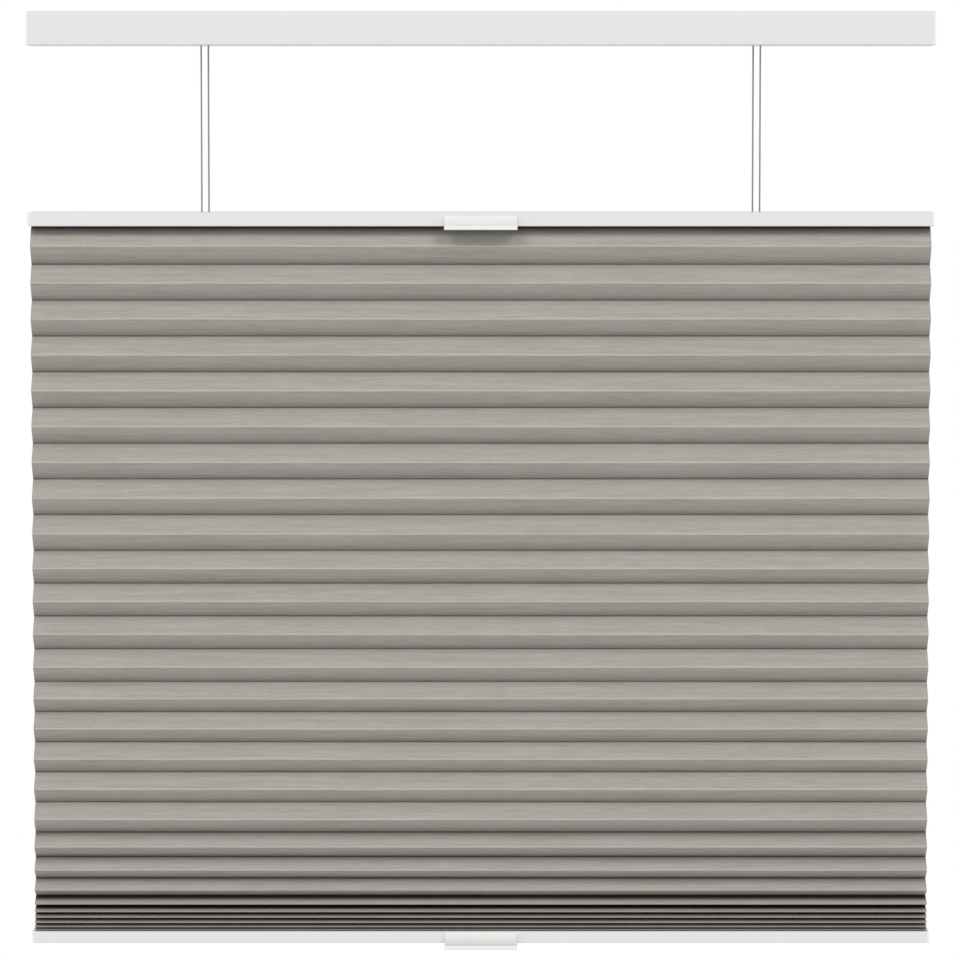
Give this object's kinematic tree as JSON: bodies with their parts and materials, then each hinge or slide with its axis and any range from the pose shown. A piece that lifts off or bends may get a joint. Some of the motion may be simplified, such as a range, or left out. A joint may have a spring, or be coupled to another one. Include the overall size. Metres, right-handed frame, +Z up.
{
  "type": "pleated blind",
  "caption": "Cordless top-down bottom-up pleated blind with honeycomb cloth between an upper and a bottom rail, hung on thin cords from a white head rail.",
  "frame": {"origin": "middle of the ceiling face, in the plane of the two mounting clips' screw faces", "axes": "+Z up, +X along the rails to the right as the room sees it, front of the blind towards -Y"},
  "size_m": [0.6, 0.05, 0.6227],
  "materials": {
    "white_rail": "satin",
    "white_plastic": "satin",
    "works_plastic": "matte",
    "spring_steel": "satin",
    "rod_steel": "satin",
    "cord": "matte",
    "bead_plastic": "gloss",
    "strip_plastic": "matte",
    "cloth": "matte"
  },
  "bodies": {
    "head": {"head_rail": "white_rail", "head_end_cap_left": "white_plastic", "head_end_cap_right": "white_plastic", "mounting_clip_left": "spring_steel", "mounting_clip_right": "spring_steel", "spool_cradle_left": "works_plastic", "spool_cradle_right": "works_plastic", "rod_bearing": "works_plastic", "front_spring_housing": "works_plastic", "front_spring_cover": "works_plastic", "front_spring": "spring_steel", "rear_spring_housing": "works_plastic", "rear_spring_cover": "works_plastic", "rear_spring": "spring_steel"},
    "front_drive": {"front_lift_rod": "rod_steel", "front_spool_left": "works_plastic", "front_spool_right": "works_plastic", "front_winding_left": "cord", "front_winding_right": "cord", "front_spring_hub": "works_plastic"},
    "rear_bush": {"rear_rod_bush": "works_plastic"},
    "rear_drive": {"rear_lift_rod": "rod_steel", "rear_spool_left": "works_plastic", "rear_spool_right": "works_plastic", "rear_winding_left": "cord", "rear_winding_right": "cord", "rear_spring_hub": "works_plastic"},
    "upper_rail": {"upper_rail": "white_rail", "upper_end_cap_left": "white_plastic", "upper_end_cap_right": "white_plastic", "upper_handle": "white_plastic", "cord_guide_left": "white_plastic", "cord_guide_right": "white_plastic", "upper_cord_bead_left": "bead_plastic", "upper_cord_bead_right": "bead_plastic", "upper_cloth_strip": "strip_plastic", "upper_lift_cord_left": "cord", "upper_lift_cord_right": "cord", "honeycomb_cloth": "cloth"},
    "bottom_rail": {"bottom_rail": "white_rail", "bottom_end_cap_left": "white_plastic", "bottom_end_cap_right": "white_plastic", "bottom_handle": "white_plastic", "bottom_cord_bead_left": "bead_plastic", "bottom_cord_bead_right": "bead_plastic", "bottom_cloth_strip": "strip_plastic", "ballast_bar": "rod_steel", "bottom_lift_cord_left": "cord", "bottom_lift_cord_right": "cord"}
  },
  "joints": [
    {"name": "upper_rail_slide", "type": "slide", "parent": "head", "child": "upper_rail", "axis": [0, 0, 1], "range_m": [-0.39, 0.108], "deforming": ["upper_lift_cord_left", "upper_lift_cord_right"]},
    {"name": "bottom_rail_slide", "type": "slide", "parent": "upper_rail", "child": "bottom_rail", "axis": [0, 0, 1], "range_m": [-0.112, 0.39], "deforming": ["honeycomb_cloth", "bottom_lift_cord_left", "bottom_lift_cord_right"]},
    {"name": "front_drive_turn", "type": "hinge", "parent": "head", "child": "front_drive", "pos_m": [0, -0.009, -0.012], "axis": [1, 0, 0], "range_deg": [-3020, 850]},
    {"name": "rear_bush_turn", "type": "hinge", "parent": "head", "child": "rear_bush", "pos_m": [0, 0.009, -0.012], "axis": [1, 0, 0], "range_deg": [-850, 3020]},
    {"name": "rear_drive_turn", "type": "hinge", "parent": "rear_bush", "child": "rear_drive", "pos_m": [0, 0.009, -0.012], "axis": [1, 0, 0], "range_deg": [-3020, 880]}
  ],
  "couplings": [
    {"joint": "front_drive_turn", "follows": "upper_rail_slide", "rad_per_m": 134.23},
    {"joint": "rear_bush_turn", "follows": "upper_rail_slide", "rad_per_m": -134.23},
    {"joint": "rear_drive_turn", "follows": "bottom_rail_slide", "rad_per_m": -134.23}
  ]
}
